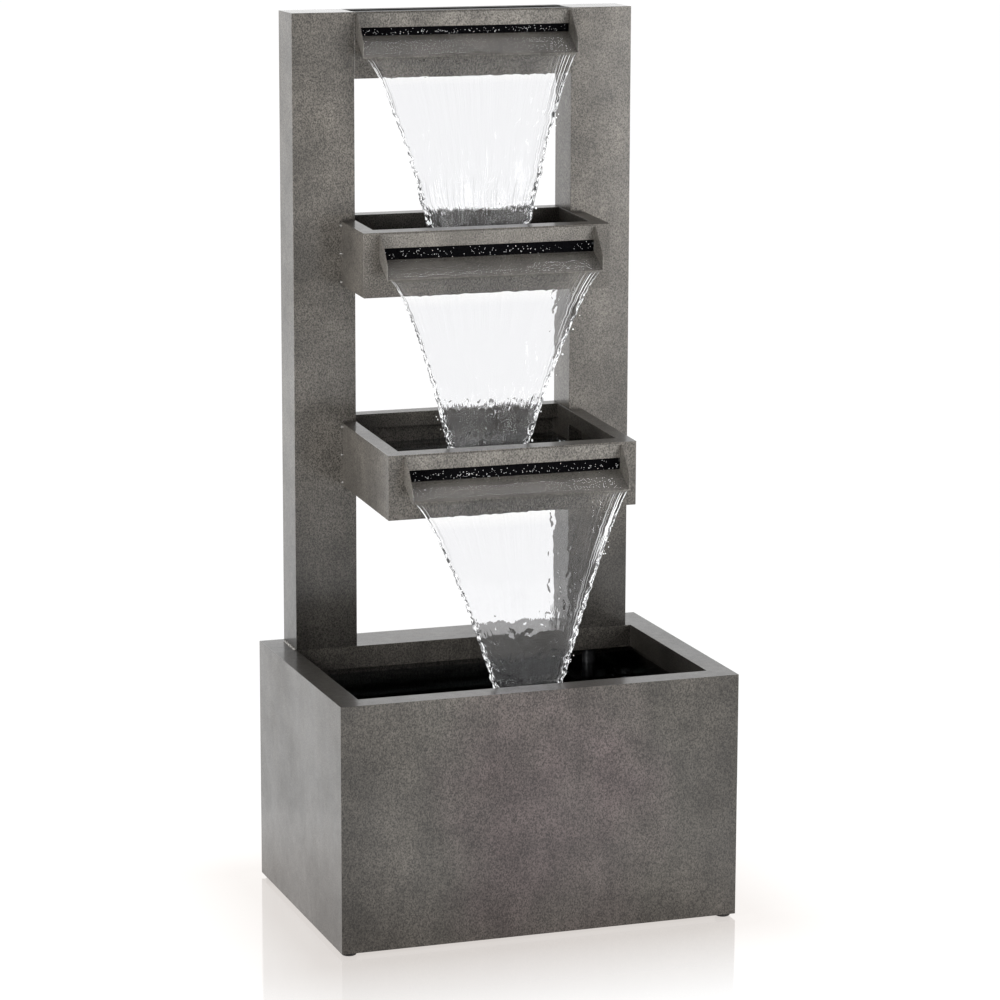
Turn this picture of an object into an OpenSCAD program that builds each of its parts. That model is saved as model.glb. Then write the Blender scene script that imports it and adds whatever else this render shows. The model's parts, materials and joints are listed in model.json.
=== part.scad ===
// Cascade fountain: a sheet-metal basin, a two-column frame that carries a
// header trough and two trays, three pouring spouts, and a submerged pump.
// Millimetres. X runs left to right, Y front to back, Z up.
// The origin is on the ground under the middle of the base.

/* [Sheet metal] */
// Thickness of the zinc-coated sheet
sheet = 1.2; // [0.8:0.1:2]

/* [Base] */
// Outside width of the base
base_w = 500; // [480:5:700]
// Outside depth of the base
base_d = 350; // [340:5:500]
// Height of the base's sheet metal, feet not counted
base_h = 300; // [200:5:400]
// Width of the base's rim along the front and the sides
base_rim = 30; // [15:1:45]
// How far the base's rim turns down into the opening
base_return = 28; // [10:1:40]
// Height of the rubber feet
foot_h = 4; // [3:1:10]
// Diameter of the rubber feet
foot_d = 18; // [12:1:30]
// Distance from the base's sides to the middle of a foot
foot_inset = 12; // [12:1:30]

/* [Frame] */
// Top of the frame above the ground
overall_h = 1085; // [1000:5:1300]
// Outside width of the frame
frame_w = 434; // [420:2:440]
// Width of a column, seen from the front
column_w = 78; // [70:1:90]
// Depth of a column
column_d = 56; // [50:1:70]
// Gap between the frame's back and the base's back
frame_setback = 10; // [5:1:30]
// How far the frame stands off the base's middle, negative to the left
frame_x = -4; // [-5:1:5]
// Height of the header between the columns
header_h = 80; // [70:1:100]

/* [Trays] */
// Outside width of a tray
tray_w = 313; // [300:1:330]
// Height of a tray
tray_h = 78; // [70:1:100]
// How far a tray's rim turns down into its opening
tray_return = 18; // [10:1:19]
// Fall of the trays towards their spouts, in degrees
tray_fall = 2.5; // [0:0.5:4]
// Reach of the middle tray in front of the columns
middle_reach = 92; // [60:1:120]
// Reach of the lower tray in front of the columns
lower_reach = 187; // [150:1:220]
// Middle tray's front rim above the ground
middle_top = 830; // [780:5:880]
// Lower tray's front rim above the ground
lower_top = 578; // [540:2:620]
// Width of a tray's rim along the front
tray_rim_front = 22; // [18:1:30]
// Width of the rims along the back, and of the header's front rim
rim_back = 18; // [14:1:20]

/* [Spouts] */
// Width over the spout's cheeks
spout_w = 274; // [240:1:276]
// How far the lip stands out
spout_reach = 31; // [20:1:45]
// How far the lip's front edge lies below the rim
spout_drop = 52; // [45:1:60]
// Top edge of the slot below the rim
slot_top = 19; // [12:1:22]
// Height of a tray's slot
tray_slot_h = 14; // [8:1:18]
// Height of the header's slot
header_slot_h = 10; // [6:1:14]
// How far the cheek's front corner lies below the rim
cheek_knee = 36; // [30:1:44]

/* [Pump and hose] */
// Outside diameter of the riser hose
hose_d = 17; // [15:1:20]
// Bore of the riser hose
hose_bore = 13; // [11:1:14]
// Side of the pump's square section
pump_side = 52; // [50:1:54]
// Height of the suction cups under the pump
cup_h = 10; // [8:1:14]

/* [Hidden] */
$fn = 64;
eps = 1;                                    // overshoot of a cutting shape

// Frame
gap_w = frame_w - 2 * column_w;             // clear width between the columns
frame_y = base_d / 2 - frame_setback - column_d;   // columns' front faces
base_top = foot_h + base_h;
header_bottom = overall_h - header_h;
column_x = frame_w / 2 - column_w / 2;      // column's middle from the frame's

// Base opening: its back edge is in line with the columns' front faces
mouth_half = base_w / 2 - base_rim;
mouth_front = -base_d / 2 + base_rim;

// Spouts
cheek_top = 3;                              // cheek's top below the rim
cheek_lead = 6;                             // depth of a cheek along its top
lip_fall = sheet / cos(32);                 // lip's thickness, measured upright
hood_top = 1.5;                             // strip's top below the rim

// Diffuser foam, pinched between a front wall and the rim's front return
foam_low = 46;                              // bottom of the foam below the rim

// Weld tacks
tack_r = 2.2;
tack_first = 5;                             // first tack below the tray's rim
tack_pitch = 34.5;
foot_tacks = 6;
foot_tack_r = 2.6;

// Pump: the outlet stands under the right column's middle
pump_x = frame_x + column_x;
pump_y = frame_y + column_d / 2;
pump_floor = foot_h + sheet;
pump_axis = pump_floor + cup_h + pump_side / 2;
pump_half = pump_side / 2;
pump_corner = 7;                            // radius of the housing's long edges
block_half = 13;                            // impeller block, along the shaft
motor_end = 63;                             // back of the motor housing
well_end = 50;                              // bottom of the rotor's well
well_r = 12.5;
chamber_r = 18;
chamber_front = -5;
eye_r = 9;
bush_r = 4;
bush_len = 5.5;
bush_seat = 4.5;                            // depth of the rear bush's seat
spider_x = -12;                             // front of the arms that hold the front bush
shaft_r = 1.5;
running_gap = 0.05;                         // radial, for what turns on a pin
slide_gap = 0.3;                            // for what slides off
spigot_half = 23.7;
spigot_corner = 5;
spigot_wall = 2;
spigot_len = 4;
cover_len = 32;
cover_wall = 2;
cover_front = -block_half - cover_len;
outlet_len = 24;
outlet_bore = 4.5;
screw_at = 19;                              // pump screws, off the shaft's axis
screw_r = 1.5;
screw_head_r = 2.2;
screw_head_h = 2.5;
screw_grip = 7;                             // length of screw in the motor housing
gland_z = 12;                               // cable gland above the shaft's axis
gland_r = 5;
gland_len = 8;
gland_seat = 6;                             // depth of the gland in the motor housing
dial_r = 10;
dial_t = 3;
dial_stem_r = 3;
cup_at = [-5, 55];                          // suction cups, along the shaft
cup_side = 14;
cup_knob_r = 2.8;
cup_knob_h = 4;

// Riser hose, elbow and clamps
hose_r = hose_d / 2;
barb_r = hose_bore / 2;
hose_low = pump_axis + pump_half + 3;
elbow_z = header_bottom + 27;
elbow_r = 8;
elbow_flange_r = 13;
hose_high = elbow_z - 10;
gasket_t = 1;
nut_flats = 22;
nut_t = 5;
clamp_w = 8;
clamp_t = 1.2;
clamp_inset = 6;                            // clamp's edge from the hose's end
clamp_at = [hose_low + clamp_inset, hose_high - clamp_inset - clamp_w];
grommet_t = 2;                              // thickness of a grommet's rims
hose_grommet_r = hose_r + 2.5;
cable_r = 3.5;                              // bore of the cable's grommets
cord_r = 2.6;                               // bore of the pump's gland
cable_hole_r = cable_r + 2;
cable_off = 22;                             // cable hole, beside the hose
cable_exit_z = base_top + 40;

// ---- Sheet-metal helpers ------------------------------------------------

// How much higher a trough's rim is at depth y than at its front face
function rise(y, reach, fall) = (y + reach) * tan(fall);

// Extrudes a front-to-back profile, given as [y, z] points, across X
module across(width) {
    rotate([90, 0, 90])
        translate([0, 0, -width / 2])
            linear_extrude(width)
                children();
}

// A block across X whose top and bottom follow the fall of a trough.
// top and bottom are depths below the rim.
module sloped_block(width, y0, y1, top, bottom, reach, fall) {
    across(width)
        polygon([
            [y0, rise(y0, reach, fall) - bottom],
            [y1, rise(y1, reach, fall) - bottom],
            [y1, rise(y1, reach, fall) - top],
            [y0, rise(y0, reach, fall) - top]
        ]);
}

// The plan of a trough: a wide part in front of the columns and a narrow
// part between them, both drawn inset from the outer faces
module trough_block(reach, fall, inset, top, bottom) {
    if (reach > 0)
        sloped_block(tray_w - 2 * inset, inset - reach, -inset, top, bottom, reach, fall);
    sloped_block(gap_w - 2 * inset, reach > 0 ? -inset : inset, column_d - inset,
                 top, bottom, reach, fall);
}

// Walls, rim and turned-down return of a trough, with a slot in its front.
// y = 0 is the columns' front plane and z = 0 is the front rim.
module trough_shell(reach, height, fall, rim_front, slot_h) {
    mouth_y0 = rim_front - reach;
    mouth_y1 = column_d - rim_back;
    inner_w = gap_w - 2 * sheet;
    difference() {
        trough_block(reach, fall, 0, 0, height);
        trough_block(reach, fall, sheet, sheet, height + 10);
        sloped_block(inner_w, mouth_y0, mouth_y1, -eps, sheet + eps, reach, fall);
        translate([0, sheet / 2 - reach, -slot_top - slot_h / 2])
            cube([spout_w - 2 * sheet, 2 * sheet, slot_h], center = true);
    }
    difference() {
        sloped_block(gap_w, mouth_y0 - sheet, mouth_y1 + sheet, 0, tray_return, reach, fall);
        sloped_block(inner_w, mouth_y0, mouth_y1, -eps, tray_return + eps, reach, fall);
    }
}

module trough_floor(reach, height, fall) {
    trough_block(reach, fall, sheet, height - sheet, height);
}

// Puts a trough's pieces in place by the height of its front rim
module at_frame(top) {
    translate([frame_x, frame_y, top]) children();
}

// ---- Base ---------------------------------------------------------------

module base_shell() {
    color("dimgray") {
        difference() {
            translate([-base_w / 2, -base_d / 2, foot_h])
                cube([base_w, base_d, base_h]);
            translate([-base_w / 2 + sheet, -base_d / 2 + sheet, foot_h - eps])
                cube([base_w - 2 * sheet, base_d - 2 * sheet, base_h - sheet + eps]);
            base_mouth(0, eps, sheet + eps);
            translate([pump_x, pump_y, base_top - sheet - eps]) {
                cylinder(r = hose_grommet_r, h = sheet + 2 * eps);
                translate([cable_off, 0, 0])
                    cylinder(r = cable_hole_r, h = sheet + 2 * eps);
            }
        }
        difference() {
            base_mouth(sheet, 0, base_return);
            base_mouth(0, eps, base_return + eps);
        }
    }
}

// The base's opening grown sideways, from above the rim to below it
module base_mouth(grow, above, below) {
    translate([-mouth_half - grow, mouth_front - grow, base_top - below])
        cube([2 * (mouth_half + grow), frame_y - mouth_front + 2 * grow, above + below]);
}

module base_floor() {
    color("dimgray")
        translate([-base_w / 2 + sheet, -base_d / 2 + sheet, foot_h])
            cube([base_w - 2 * sheet, base_d - 2 * sheet, sheet]);
}

module base_feet() {
    chamfer = 1;
    color("black")
        for (x = [-1, 1], y = [-1, 1])
            translate([x * (base_w / 2 - foot_inset), y * (base_d / 2 - foot_inset), 0]) {
                cylinder(r1 = foot_d / 2 - chamfer, r2 = foot_d / 2, h = chamfer);
                translate([0, 0, chamfer])
                    cylinder(d = foot_d, h = foot_h - chamfer);
            }
}

// ---- Frame --------------------------------------------------------------

// A hollow column, closed on top and open where it stands on the rim
module column(side) {
    translate([frame_x + side * column_x - column_w / 2, frame_y, base_top])
        difference() {
            cube([column_w, column_d, overall_h - base_top]);
            translate([sheet, sheet, -eps])
                cube([column_w - 2 * sheet, column_d - 2 * sheet,
                      overall_h - base_top - sheet + eps]);
        }
}

module left_column() {
    color("gray") column(-1);
}

module right_column() {
    color("gray")
        difference() {
            column(1);
            inlet_hole();
            translate([pump_x, frame_y + column_d + eps, cable_exit_z])
                rotate([90, 0, 0])
                    cylinder(r = cable_hole_r, h = sheet + 2 * eps);
        }
}

// Hole through the header's end wall and the column's wall against it
module inlet_hole() {
    translate([frame_x + gap_w / 2 - 2 * sheet, pump_y, elbow_z])
        rotate([0, 90, 0])
            cylinder(r = elbow_r, h = 4 * sheet);
}

module header_trough() {
    color("gray")
        difference() {
            at_frame(overall_h) trough_shell(0, header_h, 0, rim_back, header_slot_h);
            inlet_hole();
        }
}

module header_floor() {
    color("gray") at_frame(overall_h) trough_floor(0, header_h, 0);
}

// ---- Trays --------------------------------------------------------------

module middle_tray() {
    color("gray")
        at_frame(middle_top)
            trough_shell(middle_reach, tray_h, tray_fall, tray_rim_front, tray_slot_h);
}

module middle_tray_floor() {
    color("gray") at_frame(middle_top) trough_floor(middle_reach, tray_h, tray_fall);
}

module lower_tray() {
    color("gray")
        at_frame(lower_top)
            trough_shell(lower_reach, tray_h, tray_fall, tray_rim_front, tray_slot_h);
}

module lower_tray_floor() {
    color("gray") at_frame(lower_top) trough_floor(lower_reach, tray_h, tray_fall);
}

// Tacks where a tray's sides meet the columns
module tray_tacks(reach) {
    for (side = [-1, 1], i = [0 : 2])
        translate([side * tray_w / 2, 0,
                   rise(0, reach, tray_fall) - tack_first - i * tack_pitch])
            intersection() {
                sphere(r = tack_r);
                translate([side > 0 ? 0 : -2 * tack_r, -2 * tack_r, -2 * tack_r])
                    cube([2 * tack_r, 2 * tack_r, 4 * tack_r]);
            }
}

module tray_weld_tacks() {
    color("silver") {
        at_frame(middle_top) tray_tacks(middle_reach);
        at_frame(lower_top) tray_tacks(lower_reach);
    }
}

// Tacks along the columns' outer sides, on the base's rim
module column_weld_tacks() {
    color("silver")
        for (side = [-1, 1], i = [1 : foot_tacks])
            translate([frame_x + side * frame_w / 2,
                       frame_y + i * column_d / (foot_tacks + 1), base_top])
                intersection() {
                    sphere(r = foot_tack_r);
                    translate([side > 0 ? 0 : -2 * foot_tack_r, -2 * foot_tack_r, 0])
                        cube([2 * foot_tack_r, 4 * foot_tack_r, 2 * foot_tack_r]);
                }
}

// ---- Spouts -------------------------------------------------------------

// A sloping lip between two upright cheeks, folded from one sheet.
// y = 0 is the trough's front face and z = 0 its rim.
module spout(slot_low) {
    across(spout_w)
        polygon([
            [0, -slot_low],
            [0, -slot_low - lip_fall],
            [-spout_reach, -spout_drop - lip_fall],
            [-spout_reach, -spout_drop]
        ]);
    for (side = [-1, 1])
        translate([side * (spout_w - sheet) / 2, 0, 0])
            across(sheet)
                polygon([
                    [0, -cheek_top],
                    [0, -slot_low - lip_fall],
                    [-spout_reach, -spout_drop - lip_fall],
                    [-spout_reach, -cheek_knee],
                    [-cheek_lead, -cheek_top]
                ]);
}

// Flat strip over the slot, between the cheeks
module slot_strip() {
    translate([-spout_w / 2 + sheet, -sheet, -slot_top])
        cube([spout_w - 2 * sheet, sheet, slot_top - hood_top]);
}

// Foam bar behind the slot, between the front wall and the rim's return
module foam(rim_front) {
    squeeze = 0.2;
    depth = rim_front - 2 * sheet - 2 * squeeze;
    translate([-spout_w / 2 + sheet, sheet + squeeze, -foam_low])
        cube([spout_w - 2 * sheet, depth, foam_low - sheet - squeeze]);
}

module at_front(top, reach) {
    translate([frame_x, frame_y - reach, top]) children();
}

module top_spout() {
    color("gray") at_front(overall_h, 0) spout(slot_top + header_slot_h);
}
module middle_spout() {
    color("gray") at_front(middle_top, middle_reach) spout(slot_top + tray_slot_h);
}
module lower_spout() {
    color("gray") at_front(lower_top, lower_reach) spout(slot_top + tray_slot_h);
}

module top_slot_strip() {
    color("darkgray") at_front(overall_h, 0) slot_strip();
}
module middle_slot_strip() {
    color("darkgray") at_front(middle_top, middle_reach) slot_strip();
}
module lower_slot_strip() {
    color("darkgray") at_front(lower_top, lower_reach) slot_strip();
}

module top_foam() {
    color("black") at_front(overall_h, 0) foam(rim_back);
}
module middle_foam() {
    color("black") at_front(middle_top, middle_reach) foam(tray_rim_front);
}
module lower_foam() {
    color("black") at_front(lower_top, lower_reach) foam(tray_rim_front);
}

// ---- Water supply -------------------------------------------------------

module tube(r_out, r_in, h) {
    difference() {
        cylinder(r = r_out, h = h);
        translate([0, 0, -eps]) cylinder(r = r_in, h = h + 2 * eps);
    }
}

module riser_hose() {
    color([0.12, 0.12, 0.12])
        translate([pump_x, pump_y, hose_low])
            tube(hose_r, barb_r, hose_high - hose_low);
}

// Worm-drive clamps round the hose's two ends
module hose_clamps() {
    lug = [12, 7, 9];
    color("silver")
        for (z = clamp_at)
            translate([pump_x, pump_y, z]) {
                tube(hose_r + clamp_t, hose_r, clamp_w);
                difference() {
                    translate([-lug[0] / 2, -hose_r - lug[1], (clamp_w - lug[2]) / 2])
                        cube(lug);
                    translate([0, 0, -eps]) cylinder(r = hose_r, h = clamp_w + 2 * eps);
                }
            }
}

// A grommet round a hole of radius hole_r in a sheet whose middle is z = 0
module grommet(hole_r, bore_r) {
    rim_r = hole_r + 2.5;
    difference() {
        union() {
            cylinder(r = hole_r, h = sheet + 2 * grommet_t, center = true);
            for (s = [-1, 1])
                translate([0, 0, s * (sheet + grommet_t) / 2])
                    cylinder(r = rim_r, h = grommet_t, center = true);
        }
        cylinder(r = bore_r, h = 10 * grommet_t, center = true);
    }
}

module hose_grommet() {
    color("black")
        translate([pump_x, pump_y, base_top - sheet / 2])
            grommet(hose_grommet_r, hose_r);
}

// One where the cable rises into the column, one where it leaves its back
module cable_grommets() {
    color("black") {
        translate([pump_x + cable_off, pump_y, base_top - sheet / 2])
            grommet(cable_hole_r, cable_r);
        translate([pump_x, frame_y + column_d - sheet / 2, cable_exit_z])
            rotate([90, 0, 0])
                grommet(cable_hole_r, cable_r);
    }
}

// Elbow from the hose into the header's end wall
module inlet_elbow() {
    flange_t = 3;
    shoulder = 9;                           // from the elbow's axis down to the hose's end
    barb_len = 30;
    wall_x = frame_x + gap_w / 2 - sheet;   // header wall's inner face
    reach_x = pump_x - wall_x + gasket_t;
    color([0.15, 0.15, 0.16])
        translate([pump_x, pump_y, elbow_z])
            difference() {
                union() {
                    sphere(r = elbow_r);
                    rotate([0, -90, 0]) cylinder(r = elbow_r, h = reach_x);
                    translate([-reach_x - flange_t, 0, 0])
                        rotate([0, 90, 0]) cylinder(r = elbow_flange_r, h = flange_t);
                    translate([0, 0, -shoulder]) cylinder(r = elbow_r, h = shoulder);
                    translate([0, 0, -barb_len]) cylinder(r = barb_r, h = barb_len);
                }
                sphere(r = outlet_bore);
                rotate([0, -90, 0]) cylinder(r = outlet_bore, h = reach_x + flange_t + eps);
                translate([0, 0, -barb_len - eps]) cylinder(r = outlet_bore, h = barb_len + eps);
            }
}

module inlet_gasket() {
    color("black")
        translate([frame_x + gap_w / 2 - sheet - gasket_t, pump_y, elbow_z])
            rotate([0, 90, 0])
                tube(elbow_flange_r, elbow_r, gasket_t);
}

module inlet_nut() {
    nut_r = nut_flats / 2 / cos(30);
    color([0.2, 0.2, 0.2])
        translate([frame_x + gap_w / 2 + sheet, pump_y, elbow_z])
            rotate([0, 90, 0])
                difference() {
                    cylinder(r = nut_r, h = nut_t, $fn = 6);
                    translate([0, 0, -eps]) cylinder(r = elbow_r, h = nut_t + 2 * eps);
                }
}

// ---- Pump ---------------------------------------------------------------

// Puts a piece in the pump's frame: x along the shaft, z = 0 on its axis
module at_pump() {
    translate([pump_x, pump_y, pump_axis]) children();
}

// A cylinder along the shaft, from x0 to x1
module shaftwise(r, x0, x1) {
    translate([x0, 0, 0]) rotate([0, 90, 0]) cylinder(r = r, h = x1 - x0);
}

// A square bar along the shaft with rounded long edges
module pump_bar(half, corner, x0, x1) {
    flat = half - corner;
    translate([x0, 0, 0])
        rotate([90, 0, 90])
            linear_extrude(x1 - x0) {
                square([2 * half, 2 * flat], center = true);
                square([2 * flat, 2 * half], center = true);
                for (y = [-flat, flat], z = [-flat, flat])
                    translate([y, z]) circle(r = corner);
            }
}

module at_screws(x) {
    for (y = [-screw_at, screw_at], z = [-screw_at, screw_at])
        translate([x, y, z]) children();
}

module cup_sockets() {
    for (x = cup_at, y = [-cup_side, cup_side])
        translate([x, y, -pump_half - eps])
            cylinder(r = cup_knob_r, h = cup_knob_h + eps);
}

module pump_housing() {
    ribs = 4;
    rib_pitch = 8;
    rib_t = 2;
    rib_h = 1.5;
    color([0.1, 0.1, 0.11])
        at_pump()
            difference() {
                union() {
                    pump_bar(pump_half, pump_corner, block_half, motor_end);
                    for (i = [1 : ribs]) {
                        x = block_half + i * rib_pitch;
                        pump_bar(pump_half + rib_h, pump_corner + rib_h, x, x + rib_t);
                    }
                }
                shaftwise(well_r, block_half - eps, well_end);
                shaftwise(bush_r, well_end - eps, well_end + bush_seat);
                at_screws(block_half - eps) shaftwise(screw_r, 0, screw_grip + eps);
                cup_sockets();
                translate([0, 0, gland_z])
                    shaftwise(cable_r, motor_end - gland_seat, motor_end + eps);
            }
}

// Block in front of the motor: impeller chamber, eye, outlet and spigot
module pump_chamber() {
    arm_t = 2;
    ring_wall = 1.5;
    color([0.13, 0.13, 0.14])
        at_pump() {
            difference() {
                union() {
                    pump_bar(pump_half, pump_corner, -block_half, block_half);
                    pump_bar(spigot_half, spigot_corner, -block_half - spigot_len, -block_half);
                    cylinder(r = barb_r, h = pump_half + outlet_len);
                }
                pump_bar(spigot_half - spigot_wall, spigot_corner - spigot_wall - 1,
                         -block_half - spigot_len - eps, -block_half);
                shaftwise(chamber_r, chamber_front, block_half + eps);
                shaftwise(eye_r, -block_half - eps, chamber_front + eps);
                cylinder(r = outlet_bore, h = pump_half + outlet_len + eps);
                at_screws(-block_half - eps) {
                    shaftwise(screw_r, 0, 2 * block_half + 2 * eps);
                    shaftwise(screw_head_r, 0, screw_head_h + eps);
                }
                cup_sockets();
            }
            difference() {
                union() {
                    shaftwise(bush_r + ring_wall, spider_x, spider_x + bush_len);
                    for (a = [90, 210, 330])
                        rotate([a, 0, 0])
                            translate([spider_x + 1, -arm_t / 2, 0])
                                cube([bush_len - 2, arm_t, eye_r + 1]);
                }
                shaftwise(bush_r, spider_x - eps, spider_x + bush_len + eps);
            }
        }
}

module pump_screws() {
    color("silver")
        at_pump()
            at_screws(-block_half) {
                shaftwise(screw_head_r, 0, screw_head_h);
                shaftwise(screw_r, 0, 2 * block_half + screw_grip);
            }
}

// Gland that holds the cable where it enters the motor
module pump_gland() {
    color("black")
        at_pump()
            translate([0, 0, gland_z])
                difference() {
                    union() {
                        shaftwise(cable_r, motor_end - gland_seat, motor_end);
                        shaftwise(gland_r, motor_end, motor_end + gland_len);
                    }
                    shaftwise(cord_r, motor_end - gland_seat - eps, motor_end + gland_len + eps);
                }
}

module suction_cups() {
    cup_r = 9;
    cup_hollow = 3;
    neck_r = 3.5;
    neck_h = 3;
    color([0.2, 0.2, 0.2])
        at_pump()
            for (x = cup_at, y = [-cup_side, cup_side])
                translate([x, y, -pump_half - cup_h])
                    rotate_extrude()
                        polygon([
                            [0, cup_hollow], [cup_r - 1, 0], [cup_r, 0], [neck_r, cup_h - neck_h],
                            [neck_r, cup_h], [cup_knob_r, cup_h],
                            [cup_knob_r, cup_h + cup_knob_h], [0, cup_h + cup_knob_h]
                        ]);
}

// Magnet rotor, hub, back plate and vanes in one moulding
module impeller() {
    magnet_r = 11.8;
    magnet_x = [16, 46];
    plate_x = 8;
    plate_t = 2;
    vane_r = 15;
    vane_t = 1.5;
    vane_front = -3;
    hub_r = 4.5;
    color("white")
        at_pump()
            difference() {
                union() {
                    shaftwise(magnet_r, magnet_x[0], magnet_x[1]);
                    shaftwise(hub_r, chamber_front + 1, magnet_x[0] + 1);
                    shaftwise(vane_r, plate_x, plate_x + plate_t);
                    for (a = [0 : 60 : 300])
                        rotate([a, 0, 0])
                            translate([vane_front, -vane_t / 2, hub_r - 1])
                                cube([plate_x - vane_front, vane_t, vane_r - hub_r]);
                }
                shaftwise(shaft_r + running_gap, chamber_front, magnet_x[1] + eps);
            }
}

module impeller_shaft() {
    color("ivory") at_pump() shaftwise(shaft_r, spider_x, well_end + bush_seat - 0.5);
}

module shaft_bushes() {
    color([0.25, 0.25, 0.25])
        at_pump()
            for (x = [spider_x, well_end + bush_seat - bush_len])
                difference() {
                    shaftwise(bush_r, x, x + bush_len);
                    shaftwise(shaft_r, x - eps, x + bush_len + eps);
                }
}

// Slotted cap that pulls off the front of the pump
module intake_cover() {
    slots = 5;
    slot_w = 3;
    slot_pitch = 7;
    slot_h = 8;
    slot_z = [-20, 12];                     // bottoms of the slots in the front
    side_slot_w = 2;
    side_slot_h = 32;
    side_slot_x = 6;                        // first side slot behind the front
    side_slot_pitch = 4.5;
    color([0.1, 0.1, 0.11])
        at_pump()
            difference() {
                pump_bar(pump_half, pump_corner, cover_front, -block_half - slide_gap);
                pump_bar(pump_half - cover_wall, pump_corner - cover_wall,
                         cover_front + cover_wall, -block_half);
                shaftwise(dial_stem_r, cover_front - eps, cover_front + cover_wall + eps);
                for (i = [0 : slots - 1]) {
                    y = (i - (slots - 1) / 2) * slot_pitch;
                    for (z = slot_z)
                        translate([cover_front - eps, y - slot_w / 2, z])
                            cube([cover_wall + 2 * eps, slot_w, slot_h]);
                    translate([cover_front + side_slot_x + i * side_slot_pitch,
                               -pump_half - eps, -side_slot_h / 2])
                        cube([side_slot_w, 2 * pump_half + 2 * eps, side_slot_h]);
                }
            }
}

// Knob on the cover that throttles the intake
module flow_dial() {
    grip = [4, 3, 2 * dial_r - 3];
    collar_wall = 2;
    collar_t = 1.5;
    back = cover_front - slide_gap;         // dial's back face
    collar_x = cover_front + cover_wall + slide_gap;
    color([0.55, 0.56, 0.58])
        at_pump() {
            shaftwise(dial_r, back - dial_t, back);
            translate([back - dial_t - grip[0], -grip[1] / 2, -grip[2] / 2])
                cube(grip);
            shaftwise(dial_stem_r - running_gap, back - eps, collar_x);
            shaftwise(dial_stem_r + collar_wall, collar_x, collar_x + collar_t);
        }
}

// ---- Assembly -----------------------------------------------------------

base_shell();
base_floor();
base_feet();
left_column();
right_column();
header_trough();
header_floor();
middle_tray();
middle_tray_floor();
lower_tray();
lower_tray_floor();
top_spout();
middle_spout();
lower_spout();
top_slot_strip();
middle_slot_strip();
lower_slot_strip();
top_foam();
middle_foam();
lower_foam();
tray_weld_tacks();
column_weld_tacks();
riser_hose();
hose_clamps();
hose_grommet();
cable_grommets();
inlet_elbow();
inlet_nut();
inlet_gasket();
pump_housing();
pump_chamber();
pump_screws();
pump_gland();
suction_cups();
impeller();
impeller_shaft();
shaft_bushes();
intake_cover();
flow_dial();
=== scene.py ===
"""Cascade fountain: materials, foam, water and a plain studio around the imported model.

Lengths are metres and angles degrees, in the frame's own axes: X to the right, Y to the back, Z up.
"""

import json
import math
import random

import bmesh
import bpy
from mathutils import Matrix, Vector, noise


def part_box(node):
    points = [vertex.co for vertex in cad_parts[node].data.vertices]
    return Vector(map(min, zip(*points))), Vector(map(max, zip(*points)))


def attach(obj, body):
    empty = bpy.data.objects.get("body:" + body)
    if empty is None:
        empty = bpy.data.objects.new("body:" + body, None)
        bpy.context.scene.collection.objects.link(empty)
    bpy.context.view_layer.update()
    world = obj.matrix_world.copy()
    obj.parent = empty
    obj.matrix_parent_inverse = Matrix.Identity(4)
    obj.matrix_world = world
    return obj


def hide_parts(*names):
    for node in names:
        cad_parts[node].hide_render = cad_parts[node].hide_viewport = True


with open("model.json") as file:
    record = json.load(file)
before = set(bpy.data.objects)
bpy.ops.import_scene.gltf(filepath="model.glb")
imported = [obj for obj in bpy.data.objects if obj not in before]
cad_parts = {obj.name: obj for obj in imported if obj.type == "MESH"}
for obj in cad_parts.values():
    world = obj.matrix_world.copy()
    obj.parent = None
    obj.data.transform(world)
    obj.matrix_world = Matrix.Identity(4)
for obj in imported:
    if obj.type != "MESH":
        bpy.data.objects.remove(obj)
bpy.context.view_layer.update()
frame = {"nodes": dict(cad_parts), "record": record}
nodes = frame["nodes"]

GRAVITY = 9.81
SHEET = 0.0012          # thickness of the sheet metal
GAP = 0.0003            # clearance between water and metal
LIP_THICKNESS = 0.0014  # of a spout's lip, measured upright
WATER_IOR = 1.333
PAINTED_GLOW = 0.35          # painted glow of froth and drops, standing in for the light they throw back
SHEEN = 0.35            # how much of the zinc shows through its patina

# How much of its lightness and its gloss the sheet keeps inside the troughs, where painted shade darkens it
INSIDE_PAINTED_SHADE = (("header_trough", 0.05), ("middle_tray", 0.6), ("lower_tray", 0.6), ("base_shell", 0.65))


def low(node):
    return Vector(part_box(node)[0])


def high(node):
    return Vector(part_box(node)[1])


# ---- Meshes ---------------------------------------------------------------


def object_from(bm, name, material, smooth=True):
    """Turns a bmesh into a named object with one material."""
    bmesh.ops.recalc_face_normals(bm, faces=bm.faces)
    mesh = bpy.data.meshes.new(name)
    bm.to_mesh(mesh)
    bm.free()
    for face in mesh.polygons:
        face.use_smooth = smooth
    piece = bpy.data.objects.new(name, mesh)
    piece.data.materials.append(material)
    bpy.context.scene.collection.objects.link(piece)
    return piece


def ripple(point, scale, seed=0.0):
    """Smooth noise between about -1 and 1; scale is in waves per metre on each axis."""
    at = Vector((point[0] * scale[0], point[1] * scale[1], point[2] * scale[2] + seed))
    return noise.noise(at)


# ---- Material building ----------------------------------------------------


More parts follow.
